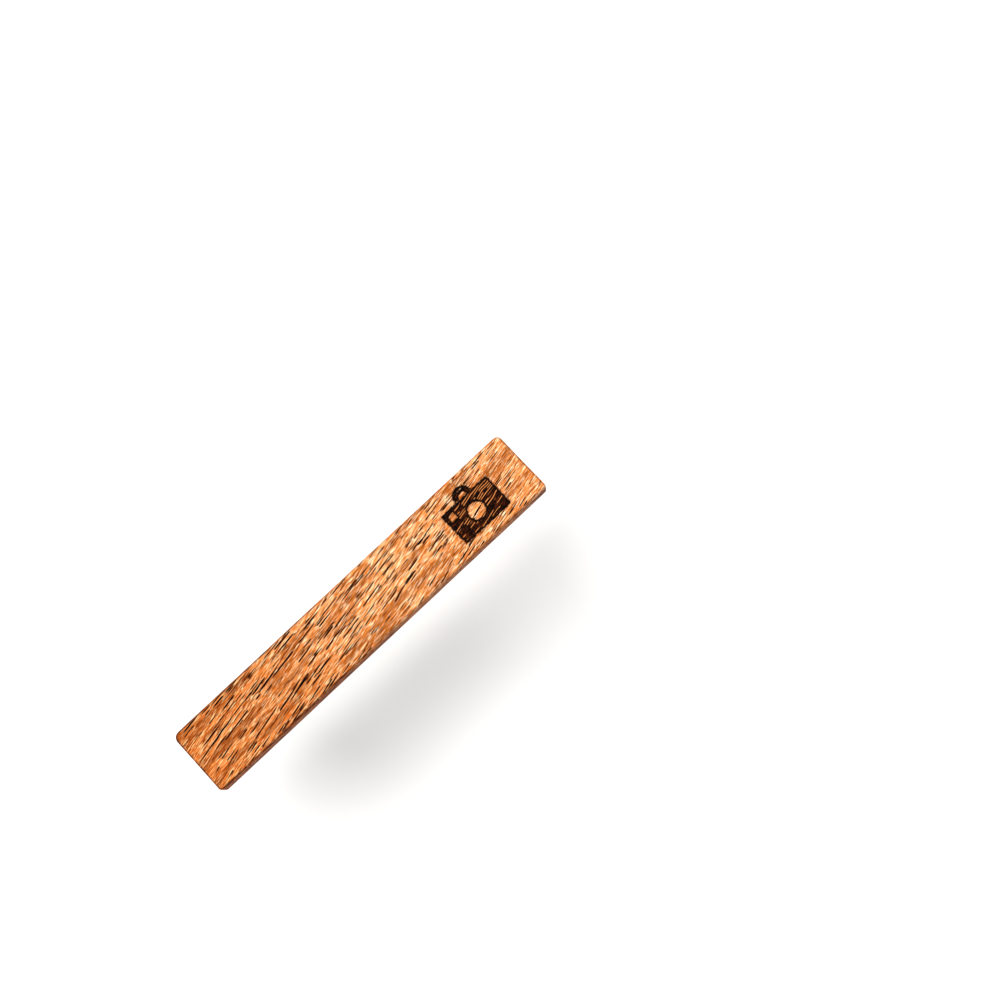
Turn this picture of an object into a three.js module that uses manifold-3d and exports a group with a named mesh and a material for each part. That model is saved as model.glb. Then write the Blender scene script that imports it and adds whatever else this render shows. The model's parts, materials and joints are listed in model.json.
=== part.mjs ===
// A tie clip: an oak bar glued to a nickel-plated steel clip of the sprung, pinching kind.
// The clip's mounting bar lies along the back of the oak. A U-shaped bracket soldered under it
// carries a riveted pin, on which a folded channel lever turns, and a torsion spring round the
// pin pushes the thumb tab down and so the toothed jaw up against the mounting bar.
//
// Millimetres, +Z up. +X runs from the thumb tab towards the jaw, +Z is the face that is seen in
// use, and the origin is on the surface that the clip lies on, under the middle of the oak bar.

import * as THREE from "three";
import { mergeVertices } from "three/addons/utils/BufferGeometryUtils.js";
import Module from "manifold-3d";

const wasm = await Module();
wasm.setup();

// ---------------------------------------------------------------- driving dimensions

const OAK = { length: 57, width: 9.5, thickness: 3.2, edge: 0.3 };
// Plan radii of the hand-sanded corners: jaw end +Y, tab end +Y, tab end -Y, jaw end -Y.
const OAK_CORNERS = [0.75, 0.95, 0.5, 0.5];
// A generic camera sign burnt into the face: a body with a plain disc for its lens, a square
// window and a hollow hump. Places are from the middle of the body, and the hump's from its foot.
const SIGN = {
  x: 19.73,
  y: -0.66,
  depth: 0.25,
  body: { width: 7.95, height: 4.95, corner: 0.25 },
  lens: { x: 0.05, y: -0.1, radius: 1.22 },
  pane: { x: -2.87, y: 1.4, size: 0.88 },
  hump: { foot: 2.76, shoulder: 2.06, shoulderRise: 1, head: 0.8, rise: 1.44 },
  humpHole: { foot: 1.48, head: 0.8, low: 0.06, high: 0.64 },
};
const GLUE = { length: 51.2, width: 5.4, thickness: 0.15 };
const MOUNTING_BAR = { length: 52, width: 6, thickness: 0.8, corner: 1.6, edge: 0.12 };
const GRIP_HEIGHT = 6; // from the table to the underside of the mounting bar

const PIN = { x: -13, z: 2.8, radius: 0.6, headRadius: 1.1, headHeight: 0.4 };
const BRACKET = { length: 7, width: 5.7, sheet: 0.5, bend: 0.65, earRadius: 1.6, play: 0.02 };

const LEVER = { sheet: 0.5, width: 4.3, tabWidth: 6, play: 0.05, lugRadius: 1.6 };
const TAB = { end: -25.5, neck: -17.6, corner: 2.2 };
const TIP = { end: 21.8, corner: 1.9 };
const TEETH = { first: 14.4, count: 5, pitch: 1, depth: 0.5, gap: 0.05 };
const RIBS = { first: -24.6, count: 4, pitch: 1.2, height: 0.2, radius: 0.3, length: 3.4 };

const SPRING = { wire: 0.2, coil: 1.1, turns: 4, halfLength: 1.1 };

const WHOLE_CIRCLE = 2 * Math.PI;
const RIGHT_ANGLE = Math.PI / 2;

// Heights of the glued stack, from the bottom up.
const BAR_TOP = GRIP_HEIGHT + MOUNTING_BAR.thickness;
const OAK_BOTTOM = BAR_TOP + GLUE.thickness;
const OAK_TOP = OAK_BOTTOM + OAK.thickness;

// ---------------------------------------------------------------- materials

const oak = new THREE.MeshStandardMaterial({ color: 0xd08a4c, roughness: 0.55, metalness: 0 });
const glue = new THREE.MeshStandardMaterial({ color: 0xd9cfae, roughness: 0.25, metalness: 0 });
const nickel = new THREE.MeshStandardMaterial({ color: 0xc9c6c0, roughness: 0.22, metalness: 1 });
const springSteel = new THREE.MeshStandardMaterial({ color: 0x9a9a9c, roughness: 0.3, metalness: 1 });

// ---------------------------------------------------------------- solids and meshes

// A manifold solid from a closed surface, with shared corners joined and empty triangles dropped.
function solidOf(geometry) {
  const bare = geometry.clone();
  bare.deleteAttribute("normal");
  bare.deleteAttribute("uv");
  const merged = mergeVertices(bare, 1e-4);
  const corners = merged.index.array;
  const kept = [];
  for (let i = 0; i < corners.length; i += 3) {
    const [a, b, c] = corners.slice(i, i + 3);
    if (a !== b && b !== c && c !== a) {
      kept.push(a, b, c);
    }
  }
  return new wasm.Manifold(
    new wasm.Mesh({
      numProp: 3,
      vertProperties: merged.attributes.position.array,
      triVerts: new Uint32Array(kept),
    }),
  );
}

function geometryOf(solid) {
  const { vertProperties, triVerts } = solid.getMesh();
  const indexed = new THREE.BufferGeometry();
  indexed.setAttribute("position", new THREE.BufferAttribute(vertProperties, 3));
  indexed.setIndex(new THREE.BufferAttribute(triVerts, 1));
  const flat = indexed.toNonIndexed();
  flat.computeVertexNormals();
  return flat;
}

function named(name, geometry, material) {
  const mesh = new THREE.Mesh(geometry, material);
  mesh.name = name;
  return mesh;
}

// A rectangle about the origin whose corners, from +X +Y anticlockwise, have the given radii.
function roundedRectangle(length, width, [pp, np, nn, pn]) {
  const x = length / 2;
  const y = width / 2;
  const shape = new THREE.Shape();
  shape.absarc(x - pp, y - pp, pp, 0, RIGHT_ANGLE);
  shape.absarc(-x + np, y - np, np, RIGHT_ANGLE, 2 * RIGHT_ANGLE);
  shape.absarc(-x + nn, -y + nn, nn, 2 * RIGHT_ANGLE, 3 * RIGHT_ANGLE);
  shape.absarc(x - pn, -y + pn, pn, 3 * RIGHT_ANGLE, 4 * RIGHT_ANGLE);
  return shape;
}

// A flat slab of that outline from bottom to bottom + thickness, with both rims rounded by edge.
function slab(shape, bottom, thickness, edge = 0) {
  const geometry = new THREE.ExtrudeGeometry(shape, {
    depth: thickness - 2 * edge,
    bevelEnabled: edge > 0,
    bevelThickness: edge,
    bevelSize: edge,
    bevelOffset: -edge,
    bevelSegments: 3,
    curveSegments: 6,
  });
  return geometry.translate(0, 0, bottom + edge);
}

// A shape drawn in X and Z, given width along Y, centred on Y = 0.
function acrossY(shape, width, curveSegments = 8) {
  const geometry = new THREE.ExtrudeGeometry(shape, {
    depth: width,
    bevelEnabled: false,
    curveSegments,
  });
  return geometry.rotateX(RIGHT_ANGLE).translate(0, width / 2, 0);
}

// A cylinder round the pin's axis.
function roundPinAxis(radius, width) {
  return new THREE.CylinderGeometry(radius, radius, width, 24).translate(PIN.x, 0, PIN.z);
}

// ---------------------------------------------------------------- the oak bar

function closedPath(points) {
  const path = new THREE.Path();
  points.forEach(([x, y], i) => (i ? path.lineTo(x, y) : path.moveTo(x, y)));
  return path;
}

function cameraSign() {
  const { body, lens, pane, hump, humpHole } = SIGN;
  const { corner } = body;
  const right = body.width / 2;
  const top = body.height / 2;
  const half = pane.size / 2;

  const sign = new THREE.Shape();
  sign.absarc(-right + corner, -top + corner, corner, -2 * RIGHT_ANGLE, -RIGHT_ANGLE);
  sign.absarc(right - corner, -top + corner, corner, -RIGHT_ANGLE, 0);
  sign.absarc(right - corner, top - corner, corner, 0, RIGHT_ANGLE);
  sign.lineTo(hump.foot / 2, top);
  sign.lineTo(hump.shoulder / 2, top + hump.shoulderRise);
  sign.lineTo(hump.head / 2, top + hump.rise);
  sign.lineTo(-hump.head / 2, top + hump.rise);
  sign.lineTo(-hump.shoulder / 2, top + hump.shoulderRise);
  sign.lineTo(-hump.foot / 2, top);
  sign.absarc(-right + corner, top - corner, corner, RIGHT_ANGLE, 2 * RIGHT_ANGLE);
  sign.closePath();

  const disc = new THREE.Path().absarc(lens.x, lens.y, lens.radius, 0, WHOLE_CIRCLE, true);
  const hole = closedPath([
    [-humpHole.foot / 2, top + humpHole.low],
    [-humpHole.head / 2, top + humpHole.high],
    [humpHole.head / 2, top + humpHole.high],
    [humpHole.foot / 2, top + humpHole.low],
  ]);
  const square = closedPath([
    [pane.x - half, pane.y + half],
    [pane.x + half, pane.y + half],
    [pane.x + half, pane.y - half],
    [pane.x - half, pane.y - half],
  ]);
  sign.holes.push(disc, hole, square);
  return sign;
}

function oakBar() {
  const outline = roundedRectangle(OAK.length, OAK.width, OAK_CORNERS);
  const blank = solidOf(slab(outline, OAK_BOTTOM, OAK.thickness, OAK.edge));
  const burn = new THREE.ExtrudeGeometry(cameraSign(), {
    depth: 2 * SIGN.depth,
    bevelEnabled: false,
    curveSegments: 12,
  }).translate(SIGN.x, SIGN.y, OAK_TOP - SIGN.depth);
  return geometryOf(blank.subtract(solidOf(burn)));
}

// ---------------------------------------------------------------- glue film and mounting bar

function glueFilm() {
  const corner = MOUNTING_BAR.corner - (MOUNTING_BAR.width - GLUE.width) / 2;
  const outline = roundedRectangle(GLUE.length, GLUE.width, [corner, corner, corner, corner]);
  return slab(outline, BAR_TOP, GLUE.thickness);
}

function mountingBar() {
  const { length, width, thickness, corner, edge } = MOUNTING_BAR;
  const outline = roundedRectangle(length, width, [corner, corner, corner, corner]);
  return slab(outline, GRIP_HEIGHT, thickness, edge);
}

// ---------------------------------------------------------------- hinge bracket

// The folded channel's section in Y and Z: open downwards, with rounded folds.
function bracketSection() {
  const { width, sheet, bend } = BRACKET;
  const y = width / 2;
  const bottom = PIN.z - BRACKET.earRadius;
  const inner = bend - sheet;
  const section = new THREE.Shape();
  section.moveTo(y, bottom);
  section.absarc(y - bend, GRIP_HEIGHT - bend, bend, 0, RIGHT_ANGLE);
  section.absarc(-y + bend, GRIP_HEIGHT - bend, bend, RIGHT_ANGLE, 2 * RIGHT_ANGLE);
  section.lineTo(-y, bottom);
  section.lineTo(-y + sheet, bottom);
  section.absarc(-y + bend, GRIP_HEIGHT - bend, inner, 2 * RIGHT_ANGLE, RIGHT_ANGLE, true);
  section.absarc(y - bend, GRIP_HEIGHT - bend, inner, RIGHT_ANGLE, 0, true);
  section.lineTo(y - sheet, bottom);
  section.closePath();
  return section;
}

// The ears' outline in X and Z: full length at the fold, tapering to a round end about the pin.
function earOutline() {
  const half = BRACKET.length / 2;
  const shoulder = GRIP_HEIGHT - BRACKET.bend - 0.3;
  const lean = Math.PI / 10;
  const outline = new THREE.Shape();
  outline.moveTo(PIN.x + half, shoulder);
  outline.lineTo(PIN.x + half, GRIP_HEIGHT + 1);
  outline.lineTo(PIN.x - half, GRIP_HEIGHT + 1);
  outline.lineTo(PIN.x - half, shoulder);
  outline.absarc(PIN.x, PIN.z, BRACKET.earRadius, Math.PI + lean, WHOLE_CIRCLE - lean);
  outline.closePath();
  return outline;
}

function hingeBracket() {
  const channel = new THREE.ExtrudeGeometry(bracketSection(), {
    depth: BRACKET.length,
    bevelEnabled: false,
    curveSegments: 6,
  });
  // The section's X becomes Y, its Y becomes Z, and the extrusion runs along X.
  channel.rotateX(RIGHT_ANGLE).rotateZ(RIGHT_ANGLE).translate(PIN.x - BRACKET.length / 2, 0, 0);
  const ears = acrossY(earOutline(), BRACKET.width + 2, 12);
  const hole = roundPinAxis(PIN.radius + BRACKET.play, BRACKET.width + 2);
  return geometryOf(solidOf(channel).intersect(solidOf(ears)).subtract(solidOf(hole)));
}

// ---------------------------------------------------------------- hinge pin

// A shank with a domed head outside each ear, turned about Y.
function hingePin() {
  const ear = BRACKET.width / 2;
  const domeRadius = (PIN.headRadius ** 2 + PIN.headHeight ** 2) / (2 * PIN.headHeight);
  const domeCentre = ear + PIN.headHeight - domeRadius;
  const rim = Math.asin(PIN.headRadius / domeRadius);
  const steps = 4;
  const dome = Array.from({ length: steps + 1 }, (_, i) => {
    const a = rim * (1 - i / steps);
    return new THREE.Vector2(domeRadius * Math.sin(a), domeCentre + domeRadius * Math.cos(a));
  });
  dome[0].set(PIN.headRadius, ear);
  dome[steps].x = 0;
  const upper = [new THREE.Vector2(PIN.radius, ear), ...dome];
  const lower = upper.map((p) => new THREE.Vector2(p.x, -p.y)).reverse();
  return new THREE.LatheGeometry([...lower, ...upper], 24).translate(PIN.x, 0, PIN.z);
}

// ---------------------------------------------------------------- clip lever

// Straight runs joined by rounded bends, as a list of points. Each stop is [x, z, bend length].
function bentLine(stops) {
  const path = new THREE.Path();
  const at = ([x, z]) => new THREE.Vector2(x, z);
  path.moveTo(...at(stops[0]).toArray());
  for (let i = 1; i < stops.length - 1; i += 1) {
    const corner = at(stops[i]);
    const before = at(stops[i - 1]).sub(corner).setLength(stops[i][2]).add(corner);
    const after = at(stops[i + 1]).sub(corner).setLength(stops[i][2]).add(corner);
    path.lineTo(before.x, before.y);
    path.quadraticCurveTo(corner.x, corner.y, after.x, after.y);
  }
  path.lineTo(...at(stops[stops.length - 1]).toArray());
  return path.getPoints(5);
}

// The height of a line of points at x.
function heightAt(points, x) {
  const next = Math.max(1, points.findIndex((p) => p.x >= x - 1e-9));
  const [a, b] = [points[next - 1], points[next]];
  return a.y + ((b.y - a.y) * (x - a.x)) / (b.x - a.x);
}

// The outside of the lever's web: thumb tab, hinge, belly that lies on the table, jaw, lead-in lip.
const WEB = bentLine([
  [TAB.end, 0.14],
  [-17.5, 0.75, 1.2],
  [-9.5, 0.75, 1.5],
  [-2.5, 0, 1.5],
  [7.5, 0, 2],
  [16.6, 4.25, 1],
  [19.2, 4.72, 0.8],
  [TIP.end, 4.05],
]);

function webOutside(x) {
  return heightAt(WEB, x);
}

function webInside(x) {
  const d = 0.05;
  const [low, high] = [Math.max(TAB.end, x - d), Math.min(TIP.end, x + d)];
  const slope = (webOutside(high) - webOutside(low)) / (high - low);
  return webOutside(x) + LEVER.sheet * Math.sqrt(1 + slope * slope);
}

// The top edges of the lever's side flanges: tail, lug round the pin, belly, teeth, taper.
function flangeTop() {
  const tail = new THREE.Vector2(-19, webInside(-19));
  const rise = [tail];
  const leanBack = 0.75;
  const leanFront = 0.62;
  for (let a = RIGHT_ANGLE + leanBack; a >= RIGHT_ANGLE - leanFront - 1e-9; a -= 0.137) {
    const [x, z] = [Math.cos(a), Math.sin(a)].map((v) => v * LEVER.lugRadius);
    rise.push(new THREE.Vector2(PIN.x + x, PIN.z + z));
  }
  const belly = [
    [-7.2, 1.85],
    [-5.2, 1.5],
    [7.6, 1.5],
    [10.2, 2.6],
    [TEETH.first - 0.6, 4.9],
  ].map(([x, z]) => new THREE.Vector2(x, z));
  const crest = GRIP_HEIGHT - TEETH.gap;
  const teeth = [];
  for (let i = 0; i < TEETH.count; i += 1) {
    const x = TEETH.first + i * TEETH.pitch;
    teeth.push(new THREE.Vector2(x, crest - TEETH.depth));
    teeth.push(new THREE.Vector2(x + 0.08, crest));
    teeth.push(new THREE.Vector2(x + 0.2, crest));
  }
  const last = TEETH.first + TEETH.count * TEETH.pitch;
  teeth.push(new THREE.Vector2(last, crest - TEETH.depth));
  teeth.push(new THREE.Vector2(last + 0.9, webInside(last + 0.9)));
  return [...rise, ...belly, ...teeth];
}

const FLANGE = flangeTop();

function flangeHeight(x) {
  const bare = x <= FLANGE[0].x || x >= FLANGE[FLANGE.length - 1].x;
  return bare ? webInside(x) : Math.max(webInside(x), heightAt(FLANGE, x));
}

// How far a rounded corner of that radius draws the outline in, at a distance from its end.
function drawnIn(radius, distance) {
  const left = radius - Math.min(radius, distance);
  return radius - Math.sqrt(radius * radius - left * left);
}

function halfWidth(x) {
  const [arm, tab] = [LEVER.width / 2, LEVER.tabWidth / 2];
  const flare = THREE.MathUtils.smoothstep(-x, -TAB.neck, -TAB.neck + 2.6);
  const width = arm + (tab - arm) * flare;
  return width - drawnIn(TAB.corner, x - TAB.end) - drawnIn(TIP.corner, TIP.end - x);
}

// The outline of the folded strip at x, in Y and Z, anticlockwise seen from +X, with the channel
// filled in. The two folds along the bottom are rounder where there are flanges to fold.
function leverSection(x) {
  const y = halfWidth(x);
  const [outside, top] = [webOutside(x), flangeHeight(x)];
  const fromFlangeEnd = Math.min(x - FLANGE[0].x, FLANGE[FLANGE.length - 1].x - x);
  const folded = THREE.MathUtils.smoothstep(fromFlangeEnd, 0, 1.6);
  const bend = 0.12 + 0.43 * folded;
  const turns = 4;
  const half = [];
  for (let i = 0; i <= turns; i += 1) {
    const a = (RIGHT_ANGLE * i) / turns;
    half.push([y - bend + bend * Math.sin(a), outside + bend - bend * Math.cos(a)]);
  }
  half.push([y, top]);
  const mirrored = half.map(([b, c]) => [-b, c]).reverse();
  return [...half, ...mirrored].map(([b, c]) => [x, b, c]);
}

// The inside of the channel: everything above the web and between the flanges.
function channelInside() {
  const [first, last] = [FLANGE[0].x, FLANGE[FLANGE.length - 1].x];
  const bends = WEB.map((p) => p.x).filter((x) => x > first && x < last);
  const shape = new THREE.Shape();
  shape.moveTo(last, OAK_TOP);
  shape.lineTo(first, OAK_TOP);
  for (const x of [first, ...bends, last]) {
    shape.lineTo(x, webInside(x));
  }
  shape.closePath();
  return acrossY(shape, LEVER.width - 2 * LEVER.sheet);
}

// Every x where the lever's section changes, in order.
function leverStations() {
  const curve = (from, to, n) => Array.from({ length: n }, (_, i) => from + ((to - from) * i) / n);
  const tabCorner = [0, 0.04, 0.15, 0.35, 0.65, 1.05, 1.55].map((d) => TAB.end + d);
  const tipCorner = [0, 0.04, 0.14, 0.32, 0.6, 1, 1.45].map((d) => TIP.end - d);
  const flare = curve(TAB.neck - 2.6, TAB.neck, 6);
  const all = [...tabCorner, ...tipCorner, ...flare, ...WEB.map((p) => p.x), ...FLANGE.map((p) => p.x)];
  all.sort((a, b) => a - b);
  return all.filter((x, i) => i === 0 || x - all[i - 1] > 0.03);
}

// A closed surface through sections whose points mirror one another: point i and point n - 1 - i.
function loft(sections) {
  const n = sections[0].length;
  const last = (sections.length - 1) * n;
  const index = [];
  for (let start = 0; start < last; start += n) {
    for (let i = 0; i < n; i += 1) {
      const [a, b] = [start + i, start + ((i + 1) % n)];
      index.push(a, b, a + n, b, b + n, a + n);
    }
  }
  for (let i = 0; i < n / 2 - 1; i += 1) {
    const [a, b, c, d] = [i, i + 1, n - 2 - i, n - 1 - i];
    index.push(a, c, b, a, d, c);
    index.push(...[a, b, c, a, c, d].map((v) => last + v));
  }
  const geometry = new THREE.BufferGeometry();
  geometry.setAttribute("position", new THREE.Float32BufferAttribute(sections.flat(2), 3));
  geometry.setIndex(index);
  return geometry;
}

// One raised rib across the underside of the thumb tab.
function tabRib(x) {
  const rib = new THREE.CapsuleGeometry(RIBS.radius, RIBS.length, 3, 10);
  return rib.translate(x, 0, webOutside(x) - RIBS.height + RIBS.radius);
}

function clipLever() {
  const filled = solidOf(loft(leverStations().map(leverSection)));
  let lever = filled.subtract(solidOf(channelInside()));
  for (let i = 0; i < RIBS.count; i += 1) {
    lever = lever.add(solidOf(tabRib(RIBS.first + i * RIBS.pitch)));
  }
  const hole = roundPinAxis(PIN.radius + LEVER.play, LEVER.width + 2);
  return geometryOf(lever.subtract(solidOf(hole)));
}

// ---------------------------------------------------------------- torsion spring

class Coil extends THREE.Curve {
  constructor(from, to) {
    super();
    this.from = from;
    this.to = to;
  }

  getPoint(t, target = new THREE.Vector3()) {
    const a = THREE.MathUtils.lerp(this.from, this.to, t);
    const y = THREE.MathUtils.lerp(-SPRING.halfLength, SPRING.halfLength, t);
    return target.set(PIN.x + SPRING.coil * Math.cos(a), y, PIN.z + SPRING.coil * Math.sin(a));
  }
}

// The angle on the coil where a straight leg from (x, z) touches it.
function touchAngle(x, z, side) {
  const [dx, dz] = [x - PIN.x, z - PIN.z];
  return Math.atan2(dz, dx) + side * Math.acos(SPRING.coil / Math.hypot(dx, dz));
}

// One leg bears on the thumb tab and the other on the mounting bar; the coil goes round the pin.
function torsionSpring() {
  const lowX = -19.6;
  const lowZ = webInside(lowX) + SPRING.wire + 0.03;
  const highX = -19;
  const highZ = GRIP_HEIGHT - SPRING.wire - 0.03;
  const from = touchAngle(lowX, lowZ, 1);
  const to = touchAngle(highX, highZ, -1) + SPRING.turns * WHOLE_CIRCLE;
  const coil = new Coil(from, to);
  const wire = new THREE.CurvePath();
  wire.add(new THREE.LineCurve3(new THREE.Vector3(lowX, -SPRING.halfLength, lowZ), coil.getPoint(0)));
  wire.add(coil);
  wire.add(new THREE.LineCurve3(coil.getPoint(1), new THREE.Vector3(highX, SPRING.halfLength, highZ)));
  const section = new THREE.Shape().absarc(0, 0, SPRING.wire, 0, WHOLE_CIRCLE);
  return new THREE.ExtrudeGeometry(section, { steps: 90, extrudePath: wire, curveSegments: 4 });
}

// ---------------------------------------------------------------- assembly

const tieClip = new THREE.Group();
tieClip.add(
  named("oak_bar", oakBar(), oak),
  named("glue_film", glueFilm(), glue),
  named("mounting_bar", mountingBar(), nickel),
  named("hinge_bracket", hingeBracket(), nickel),
  named("hinge_pin", hingePin(), nickel),
  named("clip_lever", clipLever(), nickel),
  named("torsion_spring", torsionSpring(), springSteel),
);

export default tieClip;
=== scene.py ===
"""A tie clip: an oak bar with a burnt camera sign, glued to a nickel-plated sprung clip.

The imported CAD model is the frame, and everything here is in that frame: +X runs from the thumb
tab to the jaw, +Z is the side that is seen in use, and the shut clip's lowest point is at Z = 0.
Places and sizes are in millimetres until new_object and a few others turn them into metres.
"""

import json
import math

import bmesh
import bpy
import numpy as np
from mathutils import Matrix, Vector


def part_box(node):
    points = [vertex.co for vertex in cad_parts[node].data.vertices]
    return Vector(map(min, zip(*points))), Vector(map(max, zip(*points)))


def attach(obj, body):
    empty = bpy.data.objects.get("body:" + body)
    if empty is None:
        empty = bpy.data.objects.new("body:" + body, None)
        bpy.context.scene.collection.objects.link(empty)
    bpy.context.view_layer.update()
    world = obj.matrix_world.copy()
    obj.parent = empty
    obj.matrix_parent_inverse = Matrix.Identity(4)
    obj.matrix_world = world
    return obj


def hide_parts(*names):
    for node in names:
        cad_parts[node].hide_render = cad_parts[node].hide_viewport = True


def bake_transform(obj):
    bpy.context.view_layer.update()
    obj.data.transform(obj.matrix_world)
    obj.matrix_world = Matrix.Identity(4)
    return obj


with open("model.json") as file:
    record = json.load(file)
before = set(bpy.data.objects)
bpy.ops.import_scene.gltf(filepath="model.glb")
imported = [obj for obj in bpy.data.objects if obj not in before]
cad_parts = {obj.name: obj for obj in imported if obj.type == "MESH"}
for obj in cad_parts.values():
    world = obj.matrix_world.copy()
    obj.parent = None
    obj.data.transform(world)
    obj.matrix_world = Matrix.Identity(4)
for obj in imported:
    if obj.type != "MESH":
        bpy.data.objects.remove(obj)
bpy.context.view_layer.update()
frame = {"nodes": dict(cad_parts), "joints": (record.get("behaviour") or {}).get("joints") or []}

MM = 0.001
SEED = 88

# ---------------------------------------------------------------- places taken from the frame


def box_in_mm(node):
    low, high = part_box(node)
    return np.array(low) / MM, np.array(high) / MM


OAK_LOW, OAK_HIGH = box_in_mm("oak_bar")
STRIP_LOW, STRIP_HIGH = box_in_mm("mounting_bar")
BRACKET_LOW, BRACKET_HIGH = box_in_mm("hinge_bracket")
SPRING_LOW, _ = box_in_mm("torsion_spring")
HINGE = frame["joints"][0]
PIN_X, PIN_Z = HINGE["pos_m"][0] / MM, HINGE["pos_m"][2] / MM

# ---------------------------------------------------------------- small helpers


def srgb(red, green, blue):
    """A colour given as 0 to 255 in sRGB, as the linear colour that a shader takes."""
    channels = [c / 255 for c in (red, green, blue)]
    linear = [c / 12.92 if c <= 0.04045 else ((c + 0.055) / 1.055) ** 2.4 for c in channels]
    return (*linear, 1.0)


def smoothstep(low, high, value):
    t = np.clip((value - low) / (high - low), 0, 1)
    return t * t * (3 - 2 * t)


class Lattice:
    """Smooth noise from 0 to 1 at points in space, repeating every SIZE units."""

    SIZE = 64

    def __init__(self, seed):
        self.values = np.random.default_rng(seed).random((self.SIZE,) * 3)

    def __call__(self, x, y, z):
        points = np.broadcast_arrays(x, y, z)
        cells = [np.floor(p).astype(int) for p in points]
        parts = [p - c for p, c in zip(points, cells)]
        parts = [t * t * (3 - 2 * t) for t in parts]
        total = 0
        for corner in np.ndindex(2, 2, 2):
            index = tuple((c + k) % self.SIZE for c, k in zip(cells, corner))
            weight = 1
            for t, k in zip(parts, corner):
                weight = weight * (t if k else 1 - t)
            total = total + weight * self.values[index]
        return total


def new_object(name, points_mm, faces):
    mesh = bpy.data.meshes.new(name)
    mesh.from_pydata((np.asarray(points_mm) * MM).tolist(), [], faces)
    mesh.update()
    made = bpy.data.objects.new(name, mesh)
    bpy.context.scene.collection.objects.link(made)
    return made


def ring_faces(rings, around):
    """Faces for closed rings of points that follow one another, with a cap on each end."""
    faces = []
    for i in range(rings - 1):
        for k in range(around):
            a, b = i * around + k, i * around + (k + 1) % around
            faces.append((a, a + around, b + around, b))
    first, last = range(around), range((rings - 1) * around, rings * around)
    return [*faces, tuple(first), tuple(last)[::-1]]


def fill(value, count):
    return np.full(count, float(value))


def add_attribute(made, name, values):
    attribute = made.data.attributes.new(name, "FLOAT", "POINT")
    attribute.data.foreach_set("value", np.asarray(values, np.float32))


def shade_smooth(made, sharp_degrees=180):
    made.data.shade_smooth()
    if sharp_degrees < 180:
        made.data.set_sharp_from_angle(angle=math.radians(sharp_degrees))


# ---------------------------------------------------------------- material building blocks


class Nodes:
    """The node tree of one new material, with short ways to add the nodes used here."""

    def __init__(self, name):
        self.material = bpy.data.materials.new(name)
        self.material.use_nodes = True
        self.tree = self.material.node_tree
        self.shader = self.tree.nodes["Principled BSDF"]

    def add(self, kind, **settings):
        node = self.tree.nodes.new(kind)
        for key, value in settings.items():
            setattr(node, key, value)
        return node

    def join(self, source, target):
        self.tree.links.new(source, target)

    def place(self, scale, turn):
        """Object coordinates, turned about Z by turn degrees, with scale in cells per millimetre."""
        coordinates = self.add("ShaderNodeTexCoord")
        turned = self.add("ShaderNodeMapping")
        turned.inputs["Rotation"].default_value = (0, 0, math.radians(turn))
        self.join(coordinates.outputs["Object"], turned.inputs["Vector"])
        scaled = self.add("ShaderNodeMapping")
        scaled.inputs["Scale"].default_value = [s / MM for s in scale]
        self.join(turned.outputs["Vector"], scaled.inputs["Vector"])
        return scaled.outputs["Vector"]

    def noise(self, scale, turn=0.0, detail=2.0, roughness=0.5, shift=0.0):
        texture = self.add("ShaderNodeTexNoise", noise_dimensions="4D")
        texture.inputs["W"].default_value = shift
        texture.inputs["Scale"].default_value = 1.0
        texture.inputs["Detail"].default_value = detail
        texture.inputs["Roughness"].default_value = roughness
        self.join(self.place(scale, turn), texture.inputs["Vector"])
        return texture.outputs["Fac"]

    def attribute(self, name):
        return self.add("ShaderNodeAttribute", attribute_name=name).outputs["Fac"]

    def step(self, value, low, high, bottom=0.0, top=1.0):
        """Bottom below low and top above high, turning smoothly between them."""
        node = self.add("ShaderNodeMapRange", interpolation_type="SMOOTHSTEP")
        self.join(value, node.inputs["Value"])
        node.inputs["From Min"].default_value = low
        node.inputs["From Max"].default_value = high
        node.inputs["To Min"].default_value = bottom
        node.inputs["To Max"].default_value = top
        return node.outputs["Result"]

    def calculate(self, operation, first, second):
        node = self.add("ShaderNodeMath", operation=operation)
        for socket, value in zip(node.inputs, (first, second)):
            if isinstance(value, (int, float)):
                socket.default_value = value
            else:
                self.join(value, socket)
        return node.outputs["Value"]

    def plus(self, first, second):
        return self.calculate("ADD", first, second)

    def minus(self, first, second):
        return self.calculate("SUBTRACT", first, second)

    def times(self, first, second):
        return self.calculate("MULTIPLY", first, second)

    def mix(self, amount, first, second, blend="MIX"):
        node = self.add("ShaderNodeMix", data_type="RGBA", blend_type=blend)
        factor, a, b = node.inputs["Factor"], node.inputs[6], node.inputs[7]
        for socket, value in ((factor, amount), (a, first), (b, second)):
            if isinstance(value, (int, float, tuple)):
                socket.default_value = value
            else:
                self.join(value, socket)
        return node.outputs[2]

    def bump(self, height, distance_mm, strength):
        node = self.add("ShaderNodeBump")
        node.inputs["Strength"].default_value = strength
        node.inputs["Distance"].default_value = distance_mm * MM
        self.join(height, node.inputs["Height"])
        return node.outputs["Normal"]

    def set(self, **sockets):
        """Sets the shader's sockets, whose names are written with _ for a space."""
        for name, value in sockets.items():
            socket = self.shader.inputs[name.replace("_", " ")]
            if isinstance(value, (int, float, tuple)):
                socket.default_value = value
            else:
                self.join(value, socket)
        return self.material


# ---------------------------------------------------------------- oak: grain

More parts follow.
